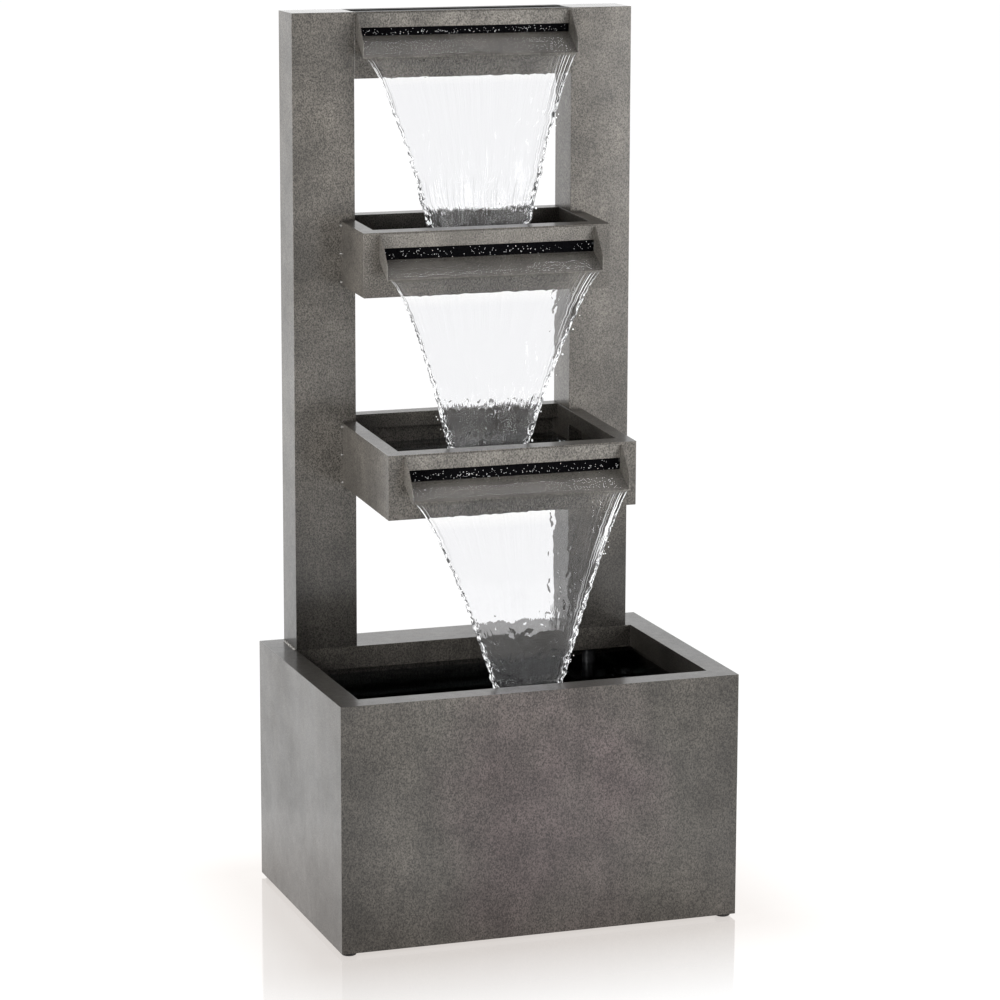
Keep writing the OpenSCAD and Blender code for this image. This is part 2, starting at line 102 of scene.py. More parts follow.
class Shader:
    """A material under construction: its nodes are joined from the left to the surface."""

    def __init__(self, name, **surface):
        self.material = bpy.data.materials.new(name)
        self.material.use_nodes = True
        self.tree = self.material.node_tree
        self.surface = self.tree.nodes["Principled BSDF"]
        self.place = self.tree.nodes.new("ShaderNodeTexCoord").outputs["Object"]
        for socket, value in surface.items():
            self.surface.inputs[socket.replace("_", " ")].default_value = value

    def node(self, kind, inputs=(), **settings):
        """Adds a node; inputs pairs a socket with a value or with another node's output."""
        made = self.tree.nodes.new(kind)
        for key, value in settings.items():
            setattr(made, key, value)
        for socket, value in dict(inputs).items():
            if isinstance(value, bpy.types.NodeSocket):
                self.tree.links.new(value, made.inputs[socket])
            else:
                made.inputs[socket].default_value = value
        return made

    def stretched(self, factors, place=None):
        return self.node("ShaderNodeMapping", {"Vector": place or self.place, "Scale": factors}).outputs[0]

    def noise(self, scale, detail=2.0, rough=0.5, place=None):
        inputs = {"Vector": place or self.place, "Scale": scale, "Detail": detail, "Roughness": rough}
        return self.node("ShaderNodeTexNoise", inputs).outputs[0]

    def cells(self, scale):
        inputs = {"Vector": self.place, "Scale": scale}
        return self.node("ShaderNodeTexVoronoi", inputs).outputs["Distance"]

    def spread(self, value, start, end, to_start=0.0, to_end=1.0):
        """Maps start to to_start and end to to_end, evenly between them and level beyond them."""
        inputs = {"Value": value, "From Min": start, "From Max": end, "To Min": to_start, "To Max": to_end}
        return self.node("ShaderNodeMapRange", inputs).outputs[0]

    def mix(self, share, first, second):
        """A colour that goes from the first to the second as share goes from 0 to 1."""
        made = self.node("ShaderNodeMix", data_type="RGBA")
        # the colour mix keeps its sockets at these positions
        for index, value in ((0, share), (6, first), (7, second)):
            if isinstance(value, bpy.types.NodeSocket):
                self.tree.links.new(value, made.inputs[index])
            else:
                made.inputs[index].default_value = value
        return made.outputs[2]

    def multiply(self, first, second):
        return self.node("ShaderNodeMath", {0: first, 1: second}, operation="MULTIPLY").outputs[0]

    def add(self, first, second):
        return self.node("ShaderNodeMath", {0: first, 1: second}, operation="ADD").outputs[0]

    def shade(self, colour, factor):
        """Multiplies a colour by a factor that varies over the surface."""
        return self.node("ShaderNodeVectorMath", {0: colour, "Scale": factor}, operation="SCALE").outputs[0]

    def vector(self, operation, *values, output="Vector", place=None):
        inputs = dict(enumerate((place or self.place,) + values))
        return self.node("ShaderNodeVectorMath", inputs, operation=operation).outputs[output]

    def outside(self, first, last):
        """Distance from a box that spans first to last; nothing inside it."""
        centre, half = (first + last) / 2, (last - first) / 2
        offset = self.vector("ABSOLUTE", place=self.vector("SUBTRACT", centre))
        beyond = self.vector("MAXIMUM", (0, 0, 0), place=self.vector("SUBTRACT", half, place=offset))
        return self.vector("LENGTH", place=beyond, output="Value")

    def bump(self, height, distance, strength=1.0):
        inputs = {"Height": height, "Distance": distance, "Strength": strength}
        self.join("Normal", self.node("ShaderNodeBump", inputs).outputs[0])

    def join(self, socket, value):
        self.tree.links.new(value, self.surface.inputs[socket])


def rgba(red, green, blue):
    return (red, green, blue, 1.0)


WHITE = rgba(1.0, 1.0, 1.0)


# ---- Materials ------------------------------------------------------------

# Where the sheet's tone changes
VIOLET_REACH = (0.06, 0.20)     # from the middle of the basin's front: violet up to here, olive from here
DARKENING_HEIGHT = 0.60              # how far up from the ground the sheet grows darker
DULL_HEIGHT = 0.10              # the same for the duller lacquer
PAINTED_SHADE_HEIGHT = 0.26            # how far up from the basin the painted shade on the columns reaches
PAINTED_SHADE_DARK = 0.58              # how much of its lightness the sheet loses there, at most
END_WIDTH = 0.06                # how wide the darker ends of the basin are


def weathered_sheet(name, violet, olive, pepper):
    """Lacquered zinc sheet with cloudy patina and a salt-and-pepper grain.

    It is violet round the middle of the basin's front and olive elsewhere. It darkens towards the
    ground and towards the basin's ends. It also carries painted shade on the columns just above the
    basin, for the dark basin that they reflect, and inside the troughs.
    """
    s = Shader(name, Metallic=SHEEN, Specular_IOR_Level=0.32, Coat_Roughness=0.16)
    basin_low, basin_high = low("base_shell"), high("base_shell")
    parts = s.node("ShaderNodeSeparateXYZ", {0: s.place}).outputs

    middle = (basin_low + basin_high) / 2
    middle.y = basin_low.y
    ragged = s.spread(s.noise(9.0, 4.0), 0.0, 1.0, -0.15, 0.15)
    patch = s.add(s.vector("DISTANCE", middle, output="Value"), ragged)
    colour = s.mix(s.spread(patch, *VIOLET_REACH), violet, olive)

    blotches = s.spread(s.noise(24.0, 4.0, 0.50), 0.30, 0.70, 0.82, 1.18)
    clouds = s.spread(s.noise(6.0, 3.0, 0.55), 0.32, 0.68, 0.86, 1.14)
    drips = s.spread(s.noise(1.0, 3.0, 0.5, s.stretched((60.0, 60.0, 4.0))), 0.35, 0.65, 0.95, 1.05)
    grain = s.noise(1.0, 2.0, 0.7, s.stretched((700.0, 700.0, 520.0)))
    salt = s.spread(grain, 0.34, 0.66, 1 - pepper, 1 + pepper)
    # darker towards the ground
    lower_darkening = s.spread(parts["Z"], 0.0, DARKENING_HEIGHT, 0.66, 1.0)
    across = s.node("ShaderNodeMath", {0: parts["X"]}, operation="ABSOLUTE").outputs[0]
    ends = s.spread(across, basin_high.x - END_WIDTH, basin_high.x, 1.0, 0.72)
    # painted shade for the dark basin reflected in the columns; the basin's rim itself isn't darkened by
    # it, only what stands above it
    above = s.spread(parts["Z"], basin_high.z + 0.0002, basin_high.z + 0.0004)
    dark = s.spread(parts["Z"], basin_high.z + 0.001, basin_high.z + PAINTED_SHADE_HEIGHT, -PAINTED_SHADE_DARK, 0.0)
    painted_basin_shade = s.add(1.0, s.multiply(above, dark))
    tone = s.multiply(blotches, s.multiply(clouds, drips))
    tone = s.multiply(tone, s.multiply(salt, s.multiply(lower_darkening, s.multiply(ends, painted_basin_shade))))

    normal = s.node("ShaderNodeNewGeometry").outputs["Normal"]
    up = s.node("ShaderNodeSeparateXYZ", {0: normal}).outputs["Z"]
    uneven = s.spread(s.noise(5.0, 4.0, 0.6), 0.35, 0.65, 0.58, 1.0)
    lacquer = s.add(uneven, s.spread(up, 0.8, 1.0, 0.0, 0.4))
    lacquer = s.multiply(lacquer, s.spread(parts["Z"], 0.0, DULL_HEIGHT, 0.72, 1.0))
    wall = SHEET - 0.0001
    # painted shade inside the troughs: the sheet is darker and duller there
    for node, wet in INSIDE_PAINTED_SHADE:
        away = s.outside(low(node) + Vector((wall, wall, wall)), high(node) - Vector((wall, wall, 0)))
        inside = s.spread(away, 0.0, 0.0002, wet, 1.0)
        tone = s.multiply(tone, inside)
        lacquer = s.multiply(lacquer, inside)

    s.join("Base Color", s.shade(colour, tone))
    s.join("Roughness", s.spread(s.noise(90.0, 4.0, 0.7), 0.30, 0.70, 0.40, 0.52))
    s.join("Coat Weight", lacquer)
    s.bump(s.add(grain, s.multiply(s.noise(30.0, 2.0), 6.0)), 0.00006, 0.5)
    return s.material


def weld_metal():
    s = Shader("weld_metal", Metallic=1.0)
    grain = s.noise(700.0, 3.0, 0.6)
    s.join("Base Color", s.mix(s.spread(grain, 0.35, 0.65), rgba(0.14, 0.13, 0.12), rgba(0.46, 0.45, 0.43)))
    s.join("Roughness", s.spread(grain, 0.3, 0.7, 0.26, 0.45))
    s.bump(grain, 0.0003, 0.8)
    return s.material


def satin_steel():
    s = Shader("satin_steel", Metallic=1.0)
    brushed = s.noise(1.0, 3.0, 0.6, s.stretched((90.0, 90.0, 2600.0)))
    s.join("Base Color", s.mix(brushed, rgba(0.50, 0.50, 0.51), rgba(0.68, 0.68, 0.67)))
    s.join("Roughness", s.spread(brushed, 0.3, 0.7, 0.20, 0.34))
    s.bump(brushed, 0.00004, 0.4)
    return s.material


def moulded_plastic(name, dark, light, rough):
    """Injection-moulded plastic with a fine spark-eroded grain and faint handling marks."""
    s = Shader(name, Metallic=0.0)
    grain = s.noise(1100.0, 2.0, 0.6)
    marks = s.noise(45.0, 4.0, 0.65)
    s.join("Base Color", s.mix(s.spread(marks, 0.35, 0.65), dark, light))
    s.join("Roughness", s.spread(marks, 0.3, 0.7, rough - 0.06, rough + 0.08))
    s.bump(grain, 0.00005, 0.6)
    return s.material


def moulded_rubber():
    s = Shader("moulded_rubber", Metallic=0.0)
    dust = s.noise(120.0, 5.0, 0.7)
    black, dusty = rgba(0.012, 0.012, 0.013), rgba(0.050, 0.048, 0.045)
    s.join("Base Color", s.mix(s.spread(dust, 0.45, 0.75), black, dusty))
    s.join("Roughness", s.spread(dust, 0.3, 0.7, 0.62, 0.85))
    s.bump(s.noise(1500.0, 2.0), 0.00008, 0.6)
    return s.material


def hose_vinyl():
    """Vinyl hose with shallow rings every few millimetres."""
    s = Shader("hose_vinyl", Metallic=0.0)
    rings = s.node("ShaderNodeTexWave", {"Vector": s.place, "Scale": 48.0}, bands_direction="Z").outputs[1]
    streaks = s.noise(60.0, 3.0, 0.6)
    s.join("Base Color", s.mix(streaks, rgba(0.016, 0.016, 0.018), rgba(0.035, 0.036, 0.038)))
    s.join("Roughness", s.spread(streaks, 0.3, 0.7, 0.32, 0.48))
    s.bump(rings, 0.0004, 0.5)
    return s.material


def glazed_ceramic():
    s = Shader("glazed_ceramic", Metallic=0.0)
    flecks = s.noise(900.0, 2.0, 0.6)
    s.join("Base Color", s.mix(flecks, rgba(0.80, 0.78, 0.72), rgba(0.88, 0.87, 0.82)))
    s.join("Roughness", s.spread(flecks, 0.3, 0.7, 0.12, 0.2))
    return s.material


def wet_foam():
    """Black open-cell foam. It hardly shines: the drops that cling to it do the glinting."""
    s = Shader("wet_foam", Metallic=0.0, Specular_IOR_Level=0.03)
    cells = s.cells(620.0)
    pit, wall = rgba(0.0005, 0.0005, 0.0006), rgba(0.004, 0.004, 0.005)
    s.join("Base Color", s.mix(s.spread(cells, 0.1, 0.6), pit, wall))
    s.join("Roughness", s.spread(cells, 0.1, 0.6, 0.30, 0.9))
    s.bump(cells, 0.0006, 0.9)
    return s.material


def falling_water():
    """Clear water whose ropes, threads and film are broken up into white and dark flecks. The white ones
    are partly froth and partly painted highlight, and glow; the dark ones are painted reflection and
    painted shade.

    The mesh says where it is in the fall: flow holds the lane across the lip and the drop, braid the
    place across and along a rope, rope marks the two ropes, thread the lanes next to them, grown runs
    from 0 at the lip to 1 where the water lands, and wet says how much the film shows.
    """
    s = Shader("falling_water", Metallic=0.0, IOR=WATER_IOR, Emission_Color=WHITE)
    flow, braid = (
        s.node("ShaderNodeAttribute", attribute_name=name).outputs["Vector"] for name in ("flow", "braid")
    )
    rope, thread, grown, wet = (
        s.node("ShaderNodeAttribute", attribute_name=name).outputs["Fac"]
        for name in ("rope", "thread", "grown", "wet")
    )
    drop = s.node("ShaderNodeSeparateXYZ", {0: flow}).outputs["Y"]
    lanes = s.noise(1.0, 2.0, 0.5, s.stretched((640.0, 11.0, 1.0), flow))
    ruffles = s.noise(1.0, 1.0, 0.5, s.stretched((260.0, 60.0, 1.0), flow))
    twist = s.noise(1.0, 2.0, 0.6, s.stretched((1.3, 170.0, 1.0), braid))

    # white flecks: partly froth, partly painted highlight
    flecks = s.multiply(rope, s.spread(twist, 0.52, 0.58))
    flecks = s.add(flecks, s.multiply(thread, s.spread(lanes, 0.57, 0.62)))
    veil = s.add(
        s.spread(lanes, 0.35, 0.65, 0.01, 0.03),
        s.multiply(s.spread(ruffles, 0.35, 0.65, 0.05, 0.13), s.spread(grown, 0.80, 0.92)),
    )
    froth_and_painted_highlights = s.add(flecks, veil)
    dark_twist = s.add(twist, s.spread(grown, 0.3, 1.0, 0.0, -0.03))
    # dark flecks on the ropes are painted reflection of dark surroundings; dark streaks low in the film are
    # painted shade
    shadows = s.multiply(rope, s.spread(dark_twist, 0.49, 0.44))
    shadows = s.multiply(shadows, s.spread(grown, 0.1, 0.9, 0.5, 1.0))
    shadows = s.add(shadows, s.multiply(thread, s.spread(lanes, 0.46, 0.41)))
    shadows = s.add(shadows, s.multiply(s.spread(grown, 0.6, 1.0, 0.0, 0.8), s.spread(lanes, 0.46, 0.36)))

    # the film has no tint as long as it hangs before the front of the trough
    below_trough = s.spread(drop, 0.020, 0.034)
    tint = s.mix(below_trough, WHITE, rgba(0.925, 0.927, 0.942))
    clear = s.mix(shadows, tint, rgba(0.02, 0.021, 0.022))
    s.join("Base Color", s.mix(froth_and_painted_highlights, clear, rgba(0.95, 0.955, 0.96)))
    s.join("Transmission Weight", s.spread(froth_and_painted_highlights, 0.0, 1.0, 1.0, 0.05))
    s.join("Roughness", s.spread(froth_and_painted_highlights, 0.0, 1.0, 0.0, 0.30))
    # the white flecks glow: a painted highlight
    s.join("Emission Strength", s.multiply(s.spread(flecks, 0.0, 1.0), PAINTED_GLOW))
    s.join("Alpha", wet)
    s.bump(s.multiply(ruffles, s.spread(grown, 0.45, 0.95)), 0.0008)
    return s.material


def glinting_water():
    """Drops of water, painted near white and glowing a little: a painted highlight for the whole sky that a
    real drop shows.
    """
    s = Shader(
        "glinting_water",
        Metallic=0.0,
        IOR=WATER_IOR,
        Roughness=0.35,
        Transmission_Weight=0.2,
        Emission_Color=WHITE,
        Emission_Strength=PAINTED_GLOW,
    )
    s.join("Base Color", s.mix(s.noise(900.0), rgba(0.70, 0.70, 0.72), WHITE))
    return s.material


def pool_water():
    """Standing water with a grey tint and faint ripples."""
    s = Shader("pool_water", Metallic=0.0, IOR=WATER_IOR, Transmission_Weight=1.0, Roughness=0.0)
    s.surface.inputs["Base Color"].default_value = rgba(0.30, 0.33, 0.34)
    s.bump(s.noise(130.0, 2.0, 0.5), 0.0002, 0.25)
    return s.material


zinc = weathered_sheet("weathered_zinc", rgba(0.128, 0.102, 0.099), rgba(0.118, 0.107, 0.093), 0.7)
# a lighter copy of the zinc for the spouts: the extra lightness is painted light, for the light their
# tilted faces catch
spout_zinc_painted_lighter = weathered_sheet("spout_zinc_painted_lighter", rgba(0.168, 0.153, 0.138), rgba(0.164, 0.152, 0.135), 0.6)
water = falling_water()
glints = glinting_water()
still_water = pool_water()
foam = wet_foam()

pump_black = moulded_plastic("pump_plastic", rgba(0.016, 0.017, 0.019), rgba(0.030, 0.031, 0.034), 0.46)
fitting_black = moulded_plastic("fitting_plastic", rgba(0.03, 0.03, 0.033), rgba(0.048, 0.048, 0.052), 0.40)
dial_grey = moulded_plastic("dial_plastic", rgba(0.26, 0.27, 0.28), rgba(0.34, 0.35, 0.36), 0.42)
rotor_white = moulded_plastic("rotor_plastic", rgba(0.58, 0.58, 0.55), rgba(0.68, 0.68, 0.66), 0.38)

FINISH = {
    "zinc_sheet": zinc,
    "spout_sheet": spout_zinc_painted_lighter,
    "weld_bead": weld_metal(),
    "black_rubber": moulded_rubber(),
    "hose_pvc": hose_vinyl(),
    "pump_plastic": pump_black,
    "fitting_plastic": fitting_black,
    "dial_plastic": dial_grey,
    "rotor_plastic": rotor_white,
    "stainless": satin_steel(),
    "ceramic_shaft": glazed_ceramic(),
    "diffuser_foam": foam,
}
FOLDED = ("zinc_sheet", "spout_sheet")
FOLD_RADIUS = 0.0005


def finish_nodes():
    """Gives every CAD node its slot's material, and the sheet metal its small fold radii."""
    for entry in frame["record"]["subparts"]:
        piece = nodes[entry["node"]]
        slot = entry["material_slot"]
        piece.data.materials.clear()
        piece.data.materials.append(FINISH[slot])
        if slot in FOLDED:
            weld = piece.modifiers.new("weld", "WELD")
            weld.merge_threshold = 0.00001
            bevel = piece.modifiers.new("fold", "BEVEL")
            bevel.width = FOLD_RADIUS
            bevel.segments = 2
            bevel.limit_method = "ANGLE"
            bevel.angle_limit = math.radians(30)
            bevel.harden_normals = True


# ---- Foam -----------------------------------------------------------------


def foam_bar(name, node):
    """An open-cell foam bar whose faces are pitted by cells a few millimetres across."""
    step = 0.0016           # between neighbouring points of a face
    recess = 0.0008         # how far the cells' walls stand back from the bar's box
    pit = 0.0022            # how much deeper the deepest cells are
    cells_per_metre = 330.0
    first, last = low(node), high(node)
    counts = [max(2, round((last[k] - first[k]) / step)) for k in range(3)]
    bm = bmesh.new()
    made = {}

    def corner(i, j, k):
        if (i, j, k) not in made:
            place = list(enumerate((i, j, k)))
            at = Vector(first[n] + (last[n] - first[n]) * index / counts[n] for n, index in place)
            inward = Vector((index == 0) - (index == counts[n]) for n, index in place)
            nearest = noise.voronoi(at * cells_per_metre)[0][0]
            depth = recess + pit * min(1.0, 0.15 + 1.5 * max(0.0, 0.5 - nearest))
            depth += 0.0004 * (1 + noise.noise(at * 900.0))
            made[(i, j, k)] = bm.verts.new(at + inward * depth)
        return made[(i, j, k)]

    for axis in range(3):
        u, v = [n for n in range(3) if n != axis]
        for side in (0, counts[axis]):
            for a in range(counts[u]):
                for b in range(counts[v]):
                    loop = []
                    for da, db in ((0, 0), (1, 0), (1, 1), (0, 1)):
                        index = [0, 0, 0]
                        index[axis], index[u], index[v] = side, a + da, b + db
                        loop.append(corner(*index))
                    bm.faces.new(loop)
    piece = object_from(bm, name, foam, smooth=False)
    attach(piece, "root")
    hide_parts(node)


# ---- Falling water --------------------------------------------------------


class Fall:
    """One sheet of water: the film on a spout's lip, and its fall from the lip's edge.

    level names the trough that it pours from, and landing is the height at which it lands. left_in and
    right_in say how far its two edges have drawn in there, and curl how early they do so. A drop is
    measured down from the lip's edge, and a lane is where the water at a point crossed that edge.
    """

    SPEED = 0.19            # metres a second, as the water leaves the lip
    FILM = 0.0009           # thickness of the sheet as it leaves the lip
    SELVEDGE = 0.001        # how far in from its edges the film reaches its whole thickness
    SWAY = 0.0016           # how far the ropes wander sideways
    BEND = 0.0020           # how far the sheet flutters to the front and back
    LIP_ALPHA = 0.09        # how much the film shows on the lip, where the metal lies right under it
    FADE_IN = 0.003         # drop over which the rest of it comes to show
    THREADS = (0.006, 0.017)    # how far in from the left and right edges the film is drawn into threads
    NO_ROPE = 3             # place across a rope, in its radii, that lies clear of it

    # Faces across the film, along the lip and down the fall
    ACROSS = 190
    LIP_ROWS = 14
    FALL_ROWS = 230

    def __init__(self, level, slot_low, landing, left_in, right_in, curl, seed):
        self.name = level + "_fall"
        self.landing = landing
        self.left_in = left_in
        self.right_in = right_in
        self.curl = curl
        self.seed = seed
        first, last = low(level + "_spout"), high(level + "_spout")
        self.left = first.x + SHEET + GAP
        self.right = last.x - SHEET - GAP
        self.tip = Vector((0, first.y, first.z + LIP_THICKNESS + GAP))
        self.slot = Vector((0, last.y - GAP, slot_low + GAP))
        slope = (self.tip - self.slot).normalized()
        self.out = -slope.y * self.SPEED
        self.down = -slope.z * self.SPEED
        self.height = self.tip.z - landing

    def centre(self, drop):
        """Y of the falling film."""
        seconds = (math.sqrt(self.down**2 + 2 * GRAVITY * drop) - self.down) / GRAVITY
        return self.tip.y - self.out * seconds

    def edges(self, drop):
        """X of the two ropes' outer sides."""
        drawn = (drop / self.height) ** self.curl
        settled = min(1, drop / 0.04)
        sway = self.SWAY * ripple((drop, 0, 0), (38, 1, 1), self.seed) * settled
        jolt = self.SWAY * ripple((drop, 0, 0), (130, 1, 1), self.seed + 9) * settled
        left = self.left + self.left_in * drawn + sway + jolt
        right = self.right - self.right_in * drawn + sway - jolt
        return left, right

    def foot(self):
        """Where the sheet lands: its left and right edges, and Y."""
        left, right = self.edges(self.height)
        return left, right, self.centre(self.height)

    def rope(self, drop, side):
        """Radius of the rope that gathers along an edge: it swells into beads as it falls."""
        grown = min(1.0, drop / self.height) ** 0.8
        beads = ripple((drop, side, 0), (95, 3, 1), self.seed + 20 * side)
        beads += 0.6 * ripple((drop, side, 0), (240, 3, 1), self.seed + 33 * side)
        return (0.0006 + 0.0024 * grown) * (1 + 0.60 * beads * min(1, drop / 0.02))

    def section(self, x, left, right, drop):
        """Thickness of the water at x where the sheet spans left to right, and how much is rope."""
        swell = min(1.0, drop / self.height) ** 2
        share = (x - left) / (right - left)
        waves = 0.5 * ripple((x, drop, 0), (170, 6, 1), self.seed)
        waves += ripple((x, drop, 0), (150, 110, 1), self.seed + 3)
        thick = (self.FILM - 0.0002 * swell) * (1 + (0.03 + 0.95 * swell) * waves)
        thick *= min(1.0, min(share, 1 - share) * (right - left) / self.SELVEDGE)
        rope, braid = 0.0, Vector((self.NO_ROPE, drop, self.seed))
        for side, gap in ((-1, x - left), (1, right - x)):
            radius = self.rope(drop, side)
            part = gap / radius
            if part < 2:
                thick = max(thick, 2 * radius * math.sqrt(max(0.0, 1 - (part - 1) ** 2)))
            here = math.exp(-4 * (max(0.0, part - 2) ** 2)) * min(1.0, 0.35 + drop / 0.05)
            if here > rope:
                rope = here
                braid = Vector((part, drop, 5 * side + self.seed))
        return thick, rope, braid

    def thread(self, lane, drop):
        """How strongly the film is drawn into threads."""
        left_threads, right_threads = self.THREADS
        near = math.exp(-(((lane - self.left) / left_threads) ** 2))
        near = max(near, math.exp(-(((self.right - lane) / right_threads) ** 2)))
        return near * min(1.0, drop / 0.006) * (1 - 0.6 * min(1.0, drop / self.height))

    def on_lip(self, at, share):
        """Top and underside of the film on the lip, a share of the way across, and its marks."""
        lane = self.left + (self.right - self.left) * share
        waves = ripple((lane, at.z, 0), (170, 6, 1), self.seed)
        edge = min(1.0, min(share, 1 - share) * (self.right - self.left) / self.SELVEDGE)
        thick = self.FILM * edge * (1 + 0.2 * waves)
        flow, braid = Vector((lane, 0, self.seed)), Vector((self.NO_ROPE, 0, self.seed))
        marks = (flow, braid, 0.0, 0.0, 0.0, self.LIP_ALPHA)
        return Vector((lane, at.y, at.z + thick)), Vector((lane, at.y, at.z)), marks

    def falling(self, at, share, drop):
        """Front and back of the falling film, a share of the way across, and its marks."""
        left, right = self.edges(drop)
        x = left + (right - left) * share
        lane = self.left + (self.right - self.left) * share
        thick, rope, braid = self.section(x, left, right, drop)
        grown = drop / self.height
        wet = min(1.0, self.LIP_ALPHA + max(0.0, drop - LIP_THICKNESS) / self.FADE_IN)
        marks = (Vector((lane, drop, self.seed)), braid, rope, self.thread(lane, drop), grown, wet)
        bend = self.BEND * ripple((x, at.z, 0), (38, 26, 1), self.seed + 3)
        y = at.y + bend * (1 - abs(2 * share - 1) ** 8) * grown**2
        behind = thick / 2 if thick > self.FILM else self.FILM / 3
        return Vector((x, y - thick / 2, at.z)), Vector((x, y + behind, at.z)), marks

    def rows(self):
        """Every row of the film from the slot down, as one (front, back, marks) for each share."""
        shares = [0.5 - 0.5 * math.cos(math.pi * j / self.ACROSS) for j in range(self.ACROSS + 1)]
        for i in range(self.LIP_ROWS):
            at = self.slot.lerp(self.tip, i / self.LIP_ROWS)
            yield [self.on_lip(at, share) for share in shares]
        for i in range(self.FALL_ROWS + 1):
            drop = self.height * i / self.FALL_ROWS
            at = Vector((0, self.centre(drop), self.tip.z - drop))
            yield [self.falling(at, share, drop) for share in shares]


def build_fall(fall):
    """Meshes a fall as one closed film: a front and a back that meet at the two ropes."""
    bm = bmesh.new()
    layers = [bm.verts.layers.float_vector.new(name) for name in ("flow", "braid")]
    layers += [bm.verts.layers.float.new(name) for name in ("rope", "thread", "grown", "wet")]

    def point(at, marks):
        made = bm.verts.new(at)
        for layer, mark in zip(layers, marks):
            made[layer] = mark
        return made

    fronts, backs = [], []
    for row in fall.rows():
        front, back = [], []
        for j, (ahead, behind, marks) in enumerate(row):
            front.append(point(ahead, marks))
            back.append(front[-1] if j in (0, fall.ACROSS) else point(behind, marks))
        fronts.append(front)
        backs.append(back)

    for rows in (fronts, backs):
        for upper, lower in zip(rows, rows[1:]):
            for j in range(fall.ACROSS):
                bm.faces.new((upper[j], upper[j + 1], lower[j + 1], lower[j]))
    for end in (0, -1):
        front, back = fronts[end], backs[end]
        for j in range(fall.ACROSS):
            loop = (front[j], front[j + 1], back[j + 1], back[j])
            bm.faces.new(list(dict.fromkeys(loop)))
    piece = object_from(bm, fall.name, water)
    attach(piece, "root")


# ---- Standing water -------------------------------------------------------

CHOP = 0.0003       # height of the small waves on standing water
RINGS = 0.0010      # height of the rings round the foot of a fall
RING_WIDTH = 0.013  # from one ring to the next
CHURN = 0.0045      # height of the broken water under a fall


def pool(name, plan, level, bottom, foot=None, step=0.003):
    """Standing water over a plan of boxes (x0, x1, y0, y1), stirred up at the foot of a fall."""
    x0 = min(box[0] for box in plan)
    x1 = max(box[1] for box in plan)
    y0 = min(box[2] for box in plan)
    y1 = max(box[3] for box in plan)
    columns = round((x1 - x0) / step)
    rows = round((y1 - y0) / step)
    bm = bmesh.new()
    tops, bases = {}, {}

    def height(x, y):
        calm = CHOP * (ripple((x, y, 0), (45, 60, 1), 2) + 0.6 * ripple((x, y, 0), (120, 150, 1), 7))
        if foot is None:
            return level + calm
        foot_left, foot_right, foot_y = foot
        away = math.hypot(max(foot_left - x, 0, x - foot_right), y - foot_y)
        ring = RINGS * math.cos(away * 2 * math.pi / RING_WIDTH) * math.exp(-away / 0.045)
        churn = CHURN * ripple((x, y, 0), (170, 170, 1), 11) * math.exp(-((away / 0.014) ** 2))
        return level + calm + ring + churn

    def corner(i, j):
        if (i, j) not in tops:
            x = x0 + (x1 - x0) * i / columns
            y = y0 + (y1 - y0) * j / rows
            tops[(i, j)] = bm.verts.new((x, y, height(x, y)))
            bases[(i, j)] = bm.verts.new((x, y, bottom))
        return tops[(i, j)]

    def inside(i, j):
        x = x0 + (x1 - x0) * (i + 0.5) / columns
        y = y0 + (y1 - y0) * (j + 0.5) / rows
        return any(box[0] < x < box[1] and box[2] < y < box[3] for box in plan)

    cells = {(i, j) for i in range(columns) for j in range(rows) if inside(i, j)}
    for i, j in cells:
        loop = ((i, j), (i + 1, j), (i + 1, j + 1), (i, j + 1))
        bm.faces.new([corner(*key) for key in loop])
        bm.faces.new([bases[key] for key in reversed(loop)])
        beyond = ((i, j - 1), (i + 1, j), (i, j + 1), (i - 1, j))
        for side, neighbour in enumerate(beyond):
            if neighbour not in cells:
                a, b = loop[side], loop[(side + 1) % 4]
                bm.faces.new((tops[a], bases[a], bases[b], tops[b]))
    piece = object_from(bm, name, still_water)
    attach(piece, "root")


def tray_plan(tray, strip, rim):
    """Boxes of water in a tray: a wide one before the columns and a narrow one between them."""
    first, last = low(tray), high(tray)
    column_front = low("left_column").y
    gap_left = high("left_column").x
    gap_right = low("right_column").x
    inset = SHEET + GAP
    front = low(strip).y + rim + GAP
    narrow = (gap_left + inset, gap_right - inset, max(front, column_front - inset), last.y - inset)
    if first.x > gap_left - SHEET:
        return [narrow]
    return [(first.x + inset, last.x - inset, front, column_front - inset), narrow]


# ---- Drops ----------------------------------------------------------------


def drops(name, places, seed):
    """Small drops, one for each (centre, radius), some of them flat and some of them tall."""
    draw = random.Random(seed)
    bm = bmesh.new()
    for centre, radius in places:
        ball = bmesh.ops.create_icosphere(bm, subdivisions=1 if radius < 0.0008 else 2, radius=radius)
        tall = draw.uniform(0.8, 1.5)
        for vert in ball["verts"]:
            vert.co.z *= tall
            vert.co += Vector(centre)
    piece = object_from(bm, name, glints)
    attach(piece, "root")


def splash_places(fall, count, draw):
    """Drops thrown up behind the line where a sheet lands."""
    left, right, y = fall.foot()
    places = []
    for _ in range(count):
        radius = draw.uniform(0.0005, 0.0012)
        x = draw.uniform(left - 0.012, right + 0.012)
        away = abs(draw.gauss(0, 0.012))
        up = abs(draw.gauss(0, 0.004)) + 0.003
        places.append(((x, y + away, fall.landing + up), radius))
    return places


def shed_places(fall, count, draw):
    """Drops that break away from the ropes on the way down."""
    places = []
    for _ in range(count):
        drop = fall.height * draw.uniform(0.15, 0.95)
        side = draw.choice((0, 1))
        radius = draw.uniform(0.0005, 0.0012)
        x = fall.edges(drop)[side] + (1 if side else -1) * draw.uniform(0.001, 0.006)
        places.append(((x, fall.centre(drop) + draw.uniform(-0.003, 0.003), fall.tip.z - drop), radius))
    return places


